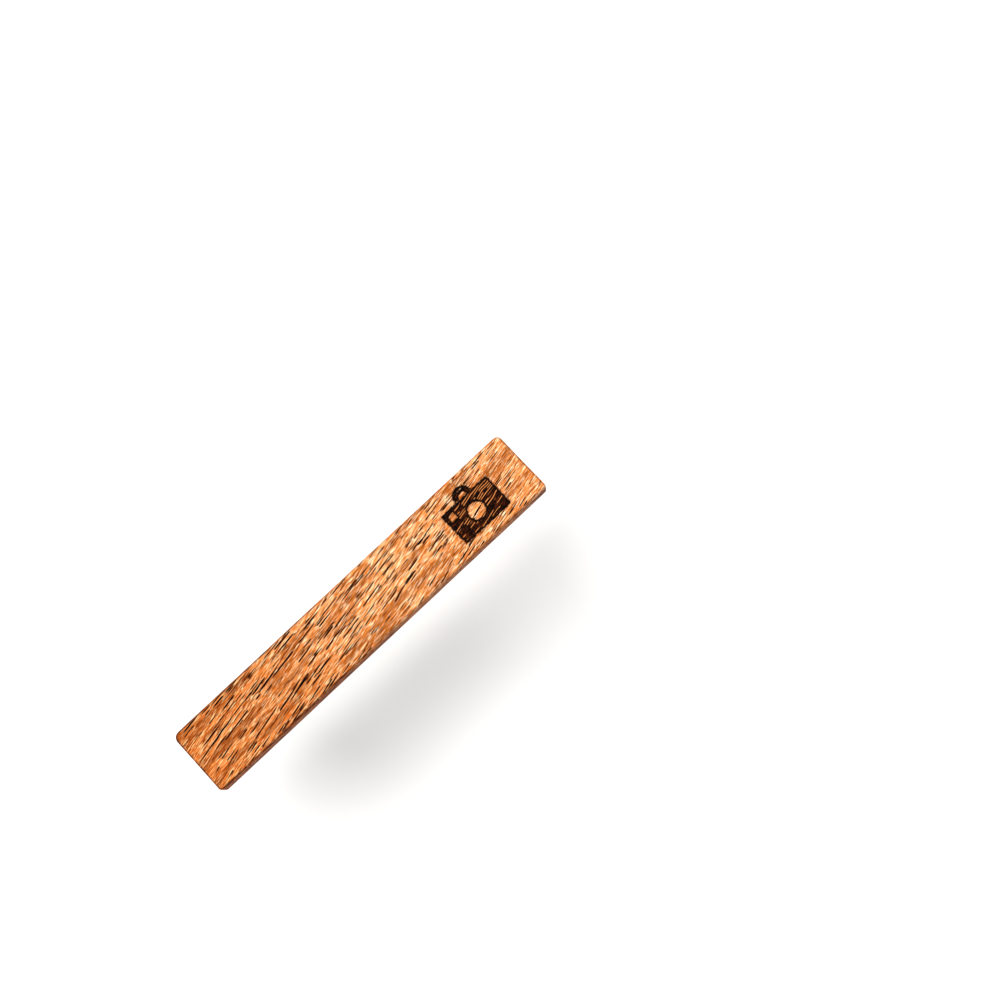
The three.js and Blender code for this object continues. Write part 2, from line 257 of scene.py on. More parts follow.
GRAIN_TURN = 11.5  # degrees from the bar's length to the pores, on the face
BAND_TURN = 5.0  # degrees to the growth bands
GRAIN_FAN = 0.7  # degrees that the pores turn less for each millimetre towards +Y
GRAIN_DIP = 2.6  # degrees by which the pores dive under the face
DIP_SPREAD, TURN_SPREAD = 1.4, 0.3  # degrees by which single pores stray
STEEPEST_DIP = GRAIN_DIP + 2.5
PORE_COUNT = 7000
PORE_RADIUS, PORE_RADIUS_MORE = 0.06, 0.038
PORE_GAP_ALONG, PORE_GAP_ACROSS = 2.4, 0.21

# Brown bands placed on the face: middle x and y, half length, half width, strength.
BROWN_BANDS = (
    (-24.4, 3.3, 4.3, 0.55, 0.6),
    (-19.0, 3.7, 3.5, 0.4, 0.6),
    (-22.6, -0.6, 6.0, 0.55, 0.9),
    (-11.9, -0.1, 3.5, 0.5, 0.8),
    (-24.4, -3.0, 4.0, 0.35, 0.8),
    (-17.0, -3.0, 3.5, 0.5, 0.8),
    (-9.8, 2.8, 2.6, 0.4, 0.7),
    (-3.4, -3.3, 3.2, 0.4, 0.7),
    (-2.6, 0.3, 2.6, 0.35, 0.6),
    (3.0, -2.5, 3.6, 0.5, 0.9),
    (9.2, 0.4, 2.8, 0.4, 0.8),
    (2.2, 4.0, 2.4, 0.4, 0.6),
    (13.8, -2.9, 3.0, 0.35, 0.6),
    (10.5, -4.0, 3.0, 0.3, 0.6),
    (20.2, 4.0, 3.0, 0.35, 0.6),
    (26.2, 1.4, 2.4, 0.55, 0.8),
    (26.0, -2.0, 1.8, 0.35, 0.6),
)

# Long pores, listed one by one: x and y where they start, and x and y where they end.
LONG_PORES = (
    (-28.3, -0.2, -20.6, 1.45),
    (-17.5, 1.6, -14.6, 2.2),
    (-16.8, 1.2, -12.6, 2.1),
    (18.75, -1.15, 20.75, -0.6),
    (3.9, -2.15, 6.6, -1.4),
    (3.5, -1.6, 5.4, -1.1),
    (-9.6, -2.2, -6.5, -1.6),
)

# Pale dashes, given in the same way.
PALE_DASHES = (
    (-3.6, -3.85, -2.1, -3.5),
    (-1.9, -3.45, -1.1, -3.25),
    (1.3, 3.75, 2.3, 3.9),
    (5.1, 3.95, 6.2, 4.05),
    (7.2, 1.0, 8.6, 1.4),
    (2.8, 0.7, 3.9, 0.9),
    (-28.4, 3.0, -27.1, 3.2),
    (-23.6, 2.9, -22.4, 3.3),
)

band_noise = Lattice(SEED)
wander_noise = Lattice(SEED + 1)
pore_noise = Lattice(SEED + 2)


def along_and_across(x, y, turn):
    """Distances along and across a direction that is turned by turn degrees from +X."""
    c, s = math.cos(math.radians(turn)), math.sin(math.radians(turn))
    return x * c + y * s, y * c - x * s


def brown_at(x, y, z):
    """How much of the brown, close-grained late wood is at points in the oak, 0 to 1."""
    along, across = along_and_across(x, y, BAND_TURN)
    depth = z - OAK_HIGH[2] + along * math.tan(math.radians(GRAIN_DIP))
    ragged = band_noise(along * 0.55, across * 2.4, depth * 2.0 + 9) - 0.5
    ragged = ragged + 0.5 * (band_noise(along * 1.7, across * 5.5, depth * 4.0 + 3) - 0.5)
    broad = 0.6 * band_noise(along * 0.09 + 3, across * 0.95 + 0.4 * ragged, depth * 0.9)
    fine = 0.4 * band_noise(along * 0.22 + 17, across * 2.3 + 0.4 * ragged, depth * 2.2 + 5)
    brown = 0.6 * smoothstep(0.54, 0.7, broad + fine)
    for middle_x, middle_y, half_length, half_width, strength in BROWN_BANDS:
        u, v = along_and_across(x - middle_x, y - middle_y, BAND_TURN)
        v = v + 0.35 * ragged
        reach = (u / half_length) ** 2 + (v / half_width) ** 2 + (depth / 4) ** 2
        brown = np.maximum(brown, strength * smoothstep(1.6, 0.5, reach + 0.6 * ragged))
    return brown


def tone_at(x, y):
    """How much darker the wood is, 0 to 1: unevenly more towards the tab end."""
    uneven = band_noise(x * 0.1, y * 0.4, 30) - 0.5
    return np.clip(0.85 * smoothstep(9, -26, x) + 0.5 * uneven, 0, 1)


def spaced_out(along, across):
    """Which points to keep so that no two are close together along and across the grain."""
    kept = []
    for i in range(len(along)):
        near = np.abs(along[kept] - along[i]) < PORE_GAP_ALONG
        near &= np.abs(across[kept] - across[i]) < PORE_GAP_ACROSS
        if not near.any():
            kept.append(i)
    return kept


def grow_pores(random):
    """Pores as straight tubes: where each one passes x = 0, its direction and its radius."""
    count = PORE_COUNT
    length, width = OAK_HIGH[0], OAK_HIGH[1]
    tan_turn = math.tan(math.radians(GRAIN_TURN))
    y_reach = width + length * tan_turn
    z_reach = length * math.tan(math.radians(STEEPEST_DIP))
    start_y = random.uniform(-y_reach, y_reach, count)
    start_z = random.uniform(OAK_LOW[2] - z_reach, OAK_HIGH[2] + z_reach, count)
    tan_dip = np.tan(np.radians(random.normal(-GRAIN_DIP, DIP_SPREAD, count)))
    radius = PORE_RADIUS + PORE_RADIUS_MORE * random.random(count) ** 1.5

    # The grain fans out: it turns less on the +Y side of the face than on the -Y side.
    cross_x = np.clip((OAK_HIGH[2] - start_z) / tan_dip, -length, length)
    cross_y = start_y + cross_x * tan_turn
    fan = GRAIN_FAN * np.clip(cross_y, -width, width)
    tan_turn = np.tan(np.radians(random.normal(GRAIN_TURN - fan, TURN_SPREAD)))
    start = np.stack([np.zeros(count), cross_y - cross_x * tan_turn, start_z], 1)
    direction = np.stack([np.ones(count), tan_turn, tan_dip], 1)
    apart = spaced_out(*along_and_across(cross_x, cross_y, GRAIN_TURN))
    return start[apart], direction[apart], radius[apart]


PORES = grow_pores(np.random.default_rng(SEED))
PORE_REACH = 0.24  # a pore counts for nothing further away than this
NO_PORE = -2.0


def pores_at(points):
    """1 at the middle of a pore, 0 at its wall, and less with the distance outside it.

    A pore wanders a little as it goes, and it is closed up in places.
    """
    order = np.argsort(points[:, 0])
    sorted_x = points[order, 0]
    low_z, high_z = points[:, 2].min() - PORE_REACH, points[:, 2].max() + PORE_REACH
    found = np.full(len(points), NO_PORE)
    for start, direction, radius in zip(*PORES):
        crossings = sorted(((low_z - start[2]) / direction[2], (high_z - start[2]) / direction[2]))
        first, last = np.searchsorted(sorted_x, crossings)
        some = order[first:last]
        off = points[some, 1:] - start[1:] - points[some, :1] * direction[1:]
        close = np.abs(off).max(axis=1, initial=0) < PORE_REACH
        near, off = some[close], off[close]
        if not len(near):
            continue
        x = points[near, 0]
        wander = 0.06 * (wander_noise(x * 0.15, start[1] * 7, start[2] * 7) - 0.5)
        reach = np.hypot(off[:, 0] + wander, off[:, 1]) / radius
        closed = smoothstep(0.5, 0.43, pore_noise(x * 0.65, start[1] * 5 + 3, start[2] * 5))
        depth = 1 - reach - 1.6 * closed
        found[near] = np.maximum(found[near], depth)
    return np.maximum(found, NO_PORE)


def dash_at(x, y, dashes, half_width):
    """The same measure for dashes on the face, which taper towards their ends."""
    found = np.full(len(x), NO_PORE)
    for x0, y0, x1, y1 in dashes:
        share = (x - x0) / (x1 - x0)
        wander = 0.08 * (wander_noise(x * 0.9, y0 * 7, x0 * 3) - 0.5)
        off = np.abs(y - y0 - (y1 - y0) * share + wander)
        taper = half_width * np.sqrt(np.clip(4 * share * (1 - share), 0, 1)) + 1e-3
        found = np.maximum(found, np.where((share > 0) & (share < 1), 1 - off / taper, NO_PORE))
    return np.maximum(found, NO_PORE)


# ---------------------------------------------------------------- oak: burnt sign

SIGN_X, SIGN_Y = 19.73, -0.66
BURN_DEPTH = 0.15  # on average
SIGN_BODY = (7.95, 4.95, 0.25)  # width, height, corner radius
SIGN_LENS = (0.02, -0.08, 1.16)  # middle x and y, radius
SIGN_PANE = (-2.87, 1.4, 0.44)  # middle x and y, half size
SIGN_HUMP = ((1.48, 1.12, 1.0), (1.12, 0.44, 0.44))  # two tiers: half foot, half head, rise
SIGN_HUMP_HOLE = (0.62, 0.34, 0.46)  # half foot, half head, rise
SIGN_HUMP_FOOT = 0.06  # from the body up to the hole

edge_noise = Lattice(SEED + 3)
char_noise = Lattice(SEED + 5)


def box_distance(x, y, half_x, half_y, corner=0.0):
    """Distance outside a rectangle about the origin; negative inside."""
    dx, dy = np.abs(x) - half_x + corner, np.abs(y) - half_y + corner
    outside = np.hypot(np.maximum(dx, 0), np.maximum(dy, 0))
    return outside + np.minimum(np.maximum(dx, dy), 0) - corner


def hump_distance(x, y, foot, head, rise):
    """Distance outside a trapezium that stands on y = 0; negative inside."""
    slope = math.atan2(foot - head, rise)
    side = (np.abs(x) - foot) * math.cos(slope) + y * math.sin(slope)
    return np.maximum(np.maximum(side, y - rise), -y)


def sign_distance(x, y):
    """Distance outside the burnt sign on the face; negative where it is burnt."""
    wobble = 0.14 * (edge_noise(x * 3, y * 3, 0) + edge_noise(x * 5, y * 9, 3) - 1)
    x, y = x - SIGN_X, y - SIGN_Y
    width, height, corner = SIGN_BODY
    top = height / 2
    body = box_distance(x, y, width / 2, top, corner)
    hump = hump_distance(x, y - top, *SIGN_HUMP[0])
    crown = hump_distance(x, y - top - SIGN_HUMP[0][2], *SIGN_HUMP[1])
    hump_hole = hump_distance(x, y - top - SIGN_HUMP_FOOT, *SIGN_HUMP_HOLE)
    lens = np.hypot(x - SIGN_LENS[0], y - SIGN_LENS[1]) - SIGN_LENS[2]
    pane = box_distance(x - SIGN_PANE[0], y - SIGN_PANE[1], SIGN_PANE[2], SIGN_PANE[2])
    burnt = np.minimum(np.minimum(body, hump), crown)
    for plain in (hump_hole, lens, pane):
        burnt = np.maximum(burnt, -plain)
    return burnt + wobble


def scorched_at(x, y, distance):
    """How much hard, pale grain the burning left in the sign, 0 to 1.

    It is in broken ridges along the grain. There is more of it right of the lens, less of it low
    down, and none by the sign's edges or in the hump.
    """
    along, across = along_and_across(x - SIGN_X, y - SIGN_Y, GRAIN_TURN)
    phase = across * 3.3 + 0.8 * char_noise(along * 0.8, across, 4)
    ridge = 0.5 + 0.5 * np.cos(2 * math.pi * phase)
    broken = char_noise(along * 1.1, across * 5.4, 2)
    share = 0.1 + 0.2 * smoothstep(0.6, 1.6, along) * smoothstep(-1.2, -0.3, across)
    share -= 0.16 * smoothstep(-1.0, -1.6, across)
    share -= 0.5 * smoothstep(-0.4, -0.15, distance)
    share -= 0.5 * smoothstep(0, 0.2, y - SIGN_Y - SIGN_BODY[1] / 2)
    return smoothstep(0.62, 0.9, ridge) * smoothstep(0.58, 0.7, broken + share)


# ---------------------------------------------------------------- oak: shape

# Plan radii of the sanded corners, by the signs of x and y.
CORNERS = {(1, 1): 0.75, (-1, 1): 0.95, (-1, -1): 0.5, (1, -1): 0.5}
RIM = 0.28
PORE_DEPTH = 0.05
SANDING = 0.03
COARSE_X, FINE_X = 0.2, 0.1  # steps along X, elsewhere and in the sign
SIDE_ROWS = 7
RIM_ROWS = 4
EDGE_STEPS = (0, 0.02, 0.06, 0.12, 0.2, 0.29)  # grid lines by the edges, by distance from them
EDGE_STRIP = 0.34
END_STEPS = (*EDGE_STEPS, 0.4, 0.54, 0.7, 0.9)
END_STRIP = 1.1
SIGN_MARGIN = 0.3

wave_noise = Lattice(SEED + 4)


def lines_between(low, high, step):
    return np.linspace(low, high, max(1, round((high - low) / step)), endpoint=False)


def lines_across(half, plain, edge_steps):
    """Grid lines from -half to half: close together by both edges, and plain between them."""
    edge = np.array(edge_steps)
    return np.concatenate([edge - half, plain, (half - edge)[::-1]])


def rows_along_grain(low, high):
    """Grid rows spaced so that the diagonals of the coarse quads lie along the grain."""
    rows = [low]
    while rows[-1] < high:
        turn = GRAIN_TURN - GRAIN_FAN * rows[-1]
        rows.append(rows[-1] + COARSE_X * math.tan(math.radians(turn)))
    rows = np.array(rows)
    return low + (rows[:-1] - low) * (high - low) / (rows[-1] - low)


def oak_lines():
    """Where the face's grid lines lie along X and along Y."""
    sign_left = SIGN_X - SIGN_BODY[0] / 2 - SIGN_MARGIN
    sign_right = SIGN_X + SIGN_BODY[0] / 2 + SIGN_MARGIN
    plain_half = OAK_HIGH[0] - END_STRIP
    plain_x = np.concatenate([
        lines_between(-plain_half, sign_left, COARSE_X),
        lines_between(sign_left, sign_right, FINE_X),
        lines_between(sign_right, plain_half, COARSE_X),
    ])
    plain_y = rows_along_grain(EDGE_STRIP - OAK_HIGH[1], OAK_HIGH[1] - EDGE_STRIP)
    return (
        lines_across(OAK_HIGH[0], plain_x, END_STEPS),
        lines_across(OAK_HIGH[1], plain_y, EDGE_STEPS),
    )


def corner_inset(x, y_sign):
    """How far the rounded corners draw the outline in at x, on the side of that sign of y."""
    inset = np.zeros_like(x)
    for x_sign in (-1, 1):
        radius = CORNERS[x_sign, y_sign]
        from_end = OAK_HIGH[0] - x * x_sign
        left = radius - np.clip(from_end, 0, radius)
        inset += radius - np.sqrt(radius**2 - left**2)
    return inset


def inside_outline(x, y):
    """Distance from points in plan to the bar's outline, positive inside."""
    radius = np.zeros_like(x)
    for (x_sign, y_sign), value in CORNERS.items():
        radius[(np.sign(x + 1e-9) == x_sign) & (np.sign(y + 1e-9) == y_sign)] = value
    dx = np.abs(x) - OAK_HIGH[0] + radius
    dy = np.abs(y) - OAK_HIGH[1] + radius
    outside = np.hypot(np.maximum(dx, 0), np.maximum(dy, 0))
    return radius - outside - np.minimum(np.maximum(dx, dy), 0)


def rim_drop(inside, radius):
    """How far a rounded rim falls at that distance inside the outline."""
    left = radius - np.clip(inside, 0, radius)
    return radius - np.sqrt(radius**2 - left**2)


def hand_sanded(points):
    """Sanding leaves the sides and ends very slightly uneven: this moves points inwards only."""
    x, y = points[:, 0], points[:, 1]
    side = SANDING * wave_noise(x * 0.13 + 5, np.sign(y) * 3 + 7, 0.5)
    end = SANDING * wave_noise(np.sign(x) * 3 + 7, y * 0.35 + 9, 3.5)
    points[:, 1] = y * (1 - side / OAK_HIGH[1] * np.abs(y / OAK_HIGH[1]) ** 3)
    points[:, 0] = x * (1 - end / OAK_HIGH[0] * np.abs(x / OAK_HIGH[0]) ** 12)


def face_plan():
    """The face's grid in plan, column by column along X, drawn in at the rounded corners."""
    line_x, line_y = oak_lines()
    grid_x, grid_y = np.meshgrid(line_x, line_y, indexing="ij")
    top_edge = OAK_HIGH[1] - corner_inset(grid_x, 1)
    low_edge = -OAK_HIGH[1] + corner_inset(grid_x, -1)
    share = (grid_y - OAK_LOW[1]) / (OAK_HIGH[1] - OAK_LOW[1])
    grid_y = low_edge + (top_edge - low_edge) * share
    return grid_x.ravel(), grid_y.ravel(), (len(line_x), len(line_y))


def face_pores(face, brown, inside):
    """Pores on the face: fewer in late wood, by the rim, towards +X and round the long ones."""
    x, y = face[:, 0], face[:, 1]
    pore = pores_at(face) - smoothstep(0.4, 0.8, brown) - 0.8 * smoothstep(0.28, 0.1, inside)
    pore -= 0.2 * smoothstep(-8, 12, x)
    pore -= 2 * smoothstep(0, 0.3, dash_at(x, y, LONG_PORES, 0.35))
    return np.maximum(pore, dash_at(x, y, LONG_PORES, 0.1))


def burnt_floor(x, y, scorched):
    """How deep the sign is burnt: roughly level, and less where hard grain is left."""
    along_grain = 0.05 * (edge_noise(x * 1.2, y * 9, 5) - 0.5)
    across_grain = 0.03 * (edge_noise(x * 9, y * 1.5, 8) - 0.5)
    return BURN_DEPTH + along_grain + across_grain - 0.08 * scorched


def oak_face():
    """The face as a grid of points, with what colours each of them."""
    x, y, counts = face_plan()
    inside = inside_outline(x, y)
    radius = RIM * (0.85 + 0.3 * wave_noise(x * 0.4, y * 0.4, 1.5))
    face = np.stack([x, y, OAK_HIGH[2] - rim_drop(inside, radius)], 1)
    brown = brown_at(*face.T)
    pore = face_pores(face, brown, inside)
    distance = sign_distance(x, y)
    scorched = scorched_at(x, y, distance)
    burnt = smoothstep(0.05, -0.05, distance)
    face[:, 2] -= burnt * burnt_floor(x, y, scorched)
    face[:, 2] -= PORE_DEPTH * smoothstep(-0.1, 0.6, pore)
    face[:, 2] -= 0.012 * edge_noise(x * 0.6, y * 6, 2)
    amounts = {
        "pore": pore,
        "pale_dash": dash_at(x, y, PALE_DASHES, 0.1),
        "brown": brown,
        "burnt": burnt,
        "scorched": scorched,
        "sign_edge": smoothstep(-0.45, 0.0, distance),
        "halo": smoothstep(0.3, 0.0, distance) * (1 - burnt),
        # Painted shade with scorching along the face's rim, heavier towards the tab end.
        "shade_and_scorch": smoothstep(0.34, 0.16, inside) * (0.45 + 0.55 * smoothstep(3, -7, x)),
        "tone": tone_at(x, y),
        "under": fill(0, len(x)),
    }
    return face, counts, amounts


def outward(outline):
    """Unit vectors that point out of a closed loop of points in plan."""
    tangent = np.roll(outline, -1, 0) - np.roll(outline, 1, 0)
    normal = np.stack([tangent[:, 1], -tangent[:, 0]], 1)
    return normal / np.linalg.norm(normal, axis=1)[:, None]


def skirt_loops(rim, normal):
    """Loops of points below the face's edge: the sides, then the lower rim."""
    outline = rim[:, :2]
    loops = []
    for i in range(1, SIDE_ROWS + 1):
        height = rim[:, 2] + (OAK_LOW[2] + RIM - rim[:, 2]) * i / SIDE_ROWS
        loops.append(np.column_stack([outline, height]))
    for i in range(1, RIM_ROWS + 1):
        angle = math.pi / 2 * i / RIM_ROWS
        inwards = outline - normal * RIM * (1 - math.cos(angle))
        height = fill(OAK_LOW[2] + RIM * (1 - math.sin(angle)), len(rim))
        loops.append(np.column_stack([inwards, height]))
    return loops


def oak_skirt(rim):
    """The sides and the lower rim below the face's edge, with what colours them."""
    normal = outward(rim[:, :2])
    loops = skirt_loops(rim, normal)
    skirt = np.concatenate(loops)
    brown = brown_at(*skirt.T)
    last_loop = slice(len(skirt) - len(rim), None)
    brown[last_loop] = 0.3
    dent = 0.02 * edge_noise(skirt[:, 0] * 0.6, skirt[:, 2] * 6, 4)
    skirt[:, :2] -= np.tile(normal, (len(loops), 1)) * dent[:, None]
    # Painted shade with scorching over the sides, and less of it on the flat back.
    under, shade_and_scorch = fill(0, len(skirt)), fill(0.85, len(skirt))
    under[last_loop] = 1
    shade_and_scorch[last_loop] = 0.25
    none = fill(0, len(skirt))
    amounts = dict.fromkeys(("burnt", "scorched", "sign_edge", "halo"), none)
    amounts |= dict.fromkeys(("pore", "pale_dash"), fill(NO_PORE, len(skirt)))
    amounts |= {"brown": brown, "shade_and_scorch": shade_and_scorch, "under": under}
    amounts["tone"] = tone_at(skirt[:, 0], skirt[:, 1])
    return skirt, len(loops), amounts


def oak_faces(columns, rows, ring, loop_count):
    """The quads of the face and the skirt, and the faces of the underside."""
    index = np.arange(columns * rows).reshape(columns, rows)
    corners = index[:-1, :-1], index[1:, :-1], index[1:, 1:], index[:-1, 1:]
    faces = np.stack([c.ravel() for c in corners], 1).tolist()
    below = [columns * rows + k * len(ring) + np.arange(len(ring)) for k in range(loop_count)]
    loops = [ring, *below]
    for upper, lower in zip(loops, loops[1:]):
        faces += np.stack([lower, np.roll(lower, -1), np.roll(upper, -1), upper], 1).tolist()
    return faces, underside(loops[-1].tolist(), columns, rows)


def underside(loop, columns, rows):
    """Strips across the flat back, and one face at each end."""
    low = loop[:columns]
    high = loop[columns + rows - 2 : 2 * columns + rows - 2][::-1]
    strips = [(low[i], high[i], high[i + 1], low[i + 1]) for i in range(columns - 1)]
    right_end = loop[columns - 1 : columns + rows - 1]
    left_end = [*loop[2 * columns + rows - 3 :], loop[0]]
    return [*strips, right_end[::-1], left_end[::-1]]


def make_oak():
    face, (columns, rows), face_amounts = oak_face()
    index = np.arange(columns * rows).reshape(columns, rows)
    edges = index[:-1, 0], index[-1, :-1], index[:0:-1, -1], index[0, :0:-1]
    ring = np.concatenate(edges)
    skirt, loop_count, skirt_amounts = oak_skirt(face[ring])
    points = np.concatenate([face, skirt])
    hand_sanded(points)
    faces, flat_faces = oak_faces(columns, rows, ring, loop_count)
    made = new_object("oak_bar_body", points, faces + flat_faces)
    for name, values in face_amounts.items():
        add_attribute(made, name, np.concatenate([values, skirt_amounts[name]]))
    made.data.shade_smooth()
    for polygon in made.data.polygons[len(faces) :]:
        polygon.use_smooth = False
    made.data.materials.append(oak_material())
    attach(made, "front")
    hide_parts("oak_bar")


# ---------------------------------------------------------------- oak: colour


def late_wood_over(wood, fibre, base):
    """Brown late wood, with edges that fray along the fibres."""
    late_wood = wood.mix(wood.step(fibre, 0.42, 0.58), srgb(156, 88, 32), srgb(204, 124, 58))
    frayed = wood.plus(wood.attribute("brown"), wood.times(wood.minus(fibre, 0.5), 1.6))
    return wood.mix(wood.step(frayed, 0.2, 0.5, top=0.92), base, late_wood)


def wood_colour(wood, fibre):
    """Early wood with fine streaks and pale flecks, crossed by bands of brown late wood."""
    pale, honey, tan = srgb(255, 186, 128), srgb(222, 132, 60), srgb(162, 84, 22)
    turn = -GRAIN_TURN
    fine = wood.noise((1.0, 10, 10), turn, detail=2, roughness=0.6, shift=2)
    cloud = wood.noise((0.09, 0.5, 0.5), -BAND_TURN, detail=2, shift=3)
    fleck = wood.noise((0.75, 7.5, 7.5), turn, detail=2, roughness=0.5, shift=4)
    streak = wood.noise((0.42, 8.5, 8.5), turn, detail=2, roughness=0.5, shift=5)
    pore = wood.attribute("pore")
    open_wood = wood.minus(1.0, wood.times(wood.attribute("brown"), 0.8))

    base = wood.mix(wood.step(fibre, 0.42, 0.58), honey, pale)
    base = wood.mix(wood.step(cloud, 0.35, 0.7, top=0.4), base, honey)
    base = late_wood_over(wood, fibre, base)
    base = wood.mix(wood.step(fine, 0.53, 0.59, top=0.65), base, tan)
    # A painted highlight: pale wood beside the pores, in the open wood.
    painted_pore_highlight = wood.times(wood.step(pore, -1.3, -0.5, top=0.8), open_wood)
    base = wood.mix(painted_pore_highlight, base, srgb(255, 212, 166))
    base = wood.mix(wood.step(pore, -0.85, -0.5, top=0.7), base, srgb(172, 88, 24))
    base = wood.mix(wood.step(streak, 0.545, 0.585, top=0.88), base, srgb(94, 44, 6))
    flecks = wood.times(wood.step(fleck, 0.545, 0.595, top=0.95), open_wood)
    base = wood.mix(flecks, base, srgb(255, 240, 214))
    return wood.mix(wood.step(wood.attribute("pale_dash"), 0.0, 0.4), base, srgb(255, 234, 204))


def char_colour(wood):
    """Nearly black char, browner along the grain, with pale streaks where hard grain is left."""
    streak = wood.noise((0.8, 8.0, 8.0), -GRAIN_TURN, detail=3, roughness=0.7, shift=8)
    raster = wood.noise((7.0, 0.9, 0.9), detail=2, roughness=0.6, shift=9)
    pattern = wood.plus(streak, wood.times(wood.minus(raster, 0.5), 0.6))
    char = wood.mix(wood.step(pattern, 0.49, 0.7), srgb(5, 1, 0), srgb(104, 42, 8))
    hard_grain = wood.step(wood.attribute("scorched"), 0.1, 0.9, top=0.9)
    char = wood.mix(hard_grain, char, srgb(222, 138, 74))
    edge = wood.step(wood.attribute("sign_edge"), 0.1, 0.8, top=0.9)
    char = wood.mix(edge, char, srgb(6, 2, 0))
    return wood.mix(wood.step(wood.attribute("pore"), -0.2, 0.2), char, srgb(4, 1, 0))


def shade_and_scorch_over(wood, base):
    """Painted shade on the rims and sides, in patches, which also stands for the saw's scorching."""
    shade_patchiness = wood.noise((0.5, 0.9, 2.2), detail=4, roughness=0.65, shift=7)
    shade_and_scorch = wood.attribute("shade_and_scorch")
    shade_and_scorch_patches = wood.times(shade_and_scorch, wood.step(shade_patchiness, 0.35, 0.65, 0.55, 1.0))
    # Painted shade with scorching: a brown multiply first, then darker patches on top.
    base = wood.mix(shade_and_scorch_patches, base, srgb(118, 66, 28), "MULTIPLY")
    deepest_shade_and_scorch = wood.times(shade_and_scorch, wood.step(shade_patchiness, 0.5, 0.6, top=0.65))
    return wood.mix(deepest_shade_and_scorch, base, srgb(66, 31, 12))


def pores_over(wood, base):
    """Dark pores: those that are cut into the face, and painted ones on the flat back."""
    stain = wood.noise((0.5, 1.5, 1.5), -GRAIN_TURN, detail=2, shift=11)
    pore_dark = wood.mix(wood.step(stain, 0.52, 0.66), srgb(8, 1, 0), srgb(84, 36, 5))
    base = wood.mix(wood.step(wood.attribute("pore"), -0.4, -0.1), base, pore_dark)
    back = wood.noise((0.22, 4.5, 4.5), GRAIN_TURN, detail=1, roughness=0.3, shift=6)
    back_pore = wood.times(wood.step(back, 0.62, 0.68, top=0.9), wood.attribute("under"))
    return wood.mix(back_pore, base, srgb(34, 11, 2))


def oak_material():
    wood = Nodes("oak")
    fibre = wood.noise((0.38, 5.0, 5.0), -GRAIN_TURN, detail=4, roughness=0.7, shift=1)
    fine = wood.noise((1.3, 14, 14), -GRAIN_TURN, detail=2, roughness=0.6, shift=10)
    tone = wood.mix(wood.attribute("tone"), srgb(255, 236, 212), srgb(222, 180, 126))
    base = wood.mix(1.0, wood_colour(wood, fibre), tone, "MULTIPLY")
    base = shade_and_scorch_over(wood, pores_over(wood, base))
    base = wood.mix(wood.times(wood.attribute("halo"), 0.3), base, srgb(150, 84, 40))
    base = wood.mix(wood.attribute("burnt"), base, char_colour(wood))
    height = wood.plus(fibre, wood.times(fine, 0.6))
    return wood.set(
        Base_Color=base,
        Roughness=wood.step(fibre, 0.3, 0.7, 0.5, 0.68),
        Specular_IOR_Level=0.03,
        Normal=wood.bump(height, 0.05, 0.9),
    )


make_oak()

# ---------------------------------------------------------------- metal materials


def nickel_material(name, tint, brush_turn=0, wear_shift=0):
    """Bright nickel plate over stamped steel: fine drawn lines, a few scratches, dull patches."""
    metal = Nodes(name)
    scratch_turn = brush_turn + 28
    lines = metal.noise((0.25, 22, 22), brush_turn, detail=3, roughness=0.65, shift=wear_shift)
    scratch = metal.noise((0.5, 14, 14), scratch_turn, detail=1, roughness=0.3, shift=wear_shift + 1)
    patch = metal.noise((0.45, 0.45, 0.45), detail=4, roughness=0.6, shift=wear_shift + 2)
    speck = metal.noise((6, 6, 6), detail=2, roughness=0.6, shift=wear_shift + 3)

    red, green, blue = tint
    bright, dulled = srgb(red, green, blue), srgb(red - 18, green - 22, blue - 30)
    base = metal.mix(metal.step(patch, 0.35, 0.7), bright, dulled)
    base = metal.mix(metal.step(speck, 0.66, 0.74, top=0.35), base, srgb(120, 108, 92))
    rough = metal.plus(metal.step(patch, 0.3, 0.75, 0.16, 0.32), metal.step(lines, 0.3, 0.7, top=0.1))
    rough = metal.plus(rough, metal.step(scratch, 0.68, 0.73, top=0.18))
    height = metal.minus(lines, metal.step(scratch, 0.68, 0.73, top=0.8))
    return metal.set(
        Base_Color=base,
        Metallic=1.0,
        Roughness=rough,
        Normal=metal.bump(height, 0.008, 0.5),
    )


# ---------------------------------------------------------------- stampings from their CAD solids

SHARP_DEGREES = 32  # a corner that turns by more than this is rounded
FLAT_DEGREES = 0.4  # faces that turn by less than this are joined up
SAME_POINT = 0.002


def rounded_copy(source, name, rounding):
    """A CAD solid's mesh with its flats joined up and its sharp corners rounded."""
    shape = bmesh.new()
    shape.from_mesh(source)
    bmesh.ops.remove_doubles(shape, verts=shape.verts, dist=SAME_POINT * MM)
    bmesh.ops.dissolve_limit(
        shape,
        angle_limit=math.radians(FLAT_DEGREES),
        verts=shape.verts,
        edges=shape.edges,
    )
    sharp = math.radians(SHARP_DEGREES)
    corners = [e for e in shape.edges if e.is_manifold and e.calc_face_angle() > sharp]
    bmesh.ops.bevel(
        shape,
        geom=corners,
        offset=rounding * MM,
        offset_type="OFFSET",
        segments=3,
        profile=0.5,
        affect="EDGES",
        clamp_overlap=True,
    )
    mesh = bpy.data.meshes.new(name)
    shape.to_mesh(mesh)
    shape.free()
    return mesh


def make_stamping(node, name, body, material, rounding):
    mesh = rounded_copy(frame["nodes"][node].data, name, rounding)
    made = bpy.data.objects.new(name, mesh)
    bpy.context.scene.collection.objects.link(made)
    shade_smooth(made, SHARP_DEGREES)
    made.modifiers.new("even_shading", "WEIGHTED_NORMAL").keep_sharp = True
    made.data.materials.append(material)
    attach(made, body)
    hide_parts(node)


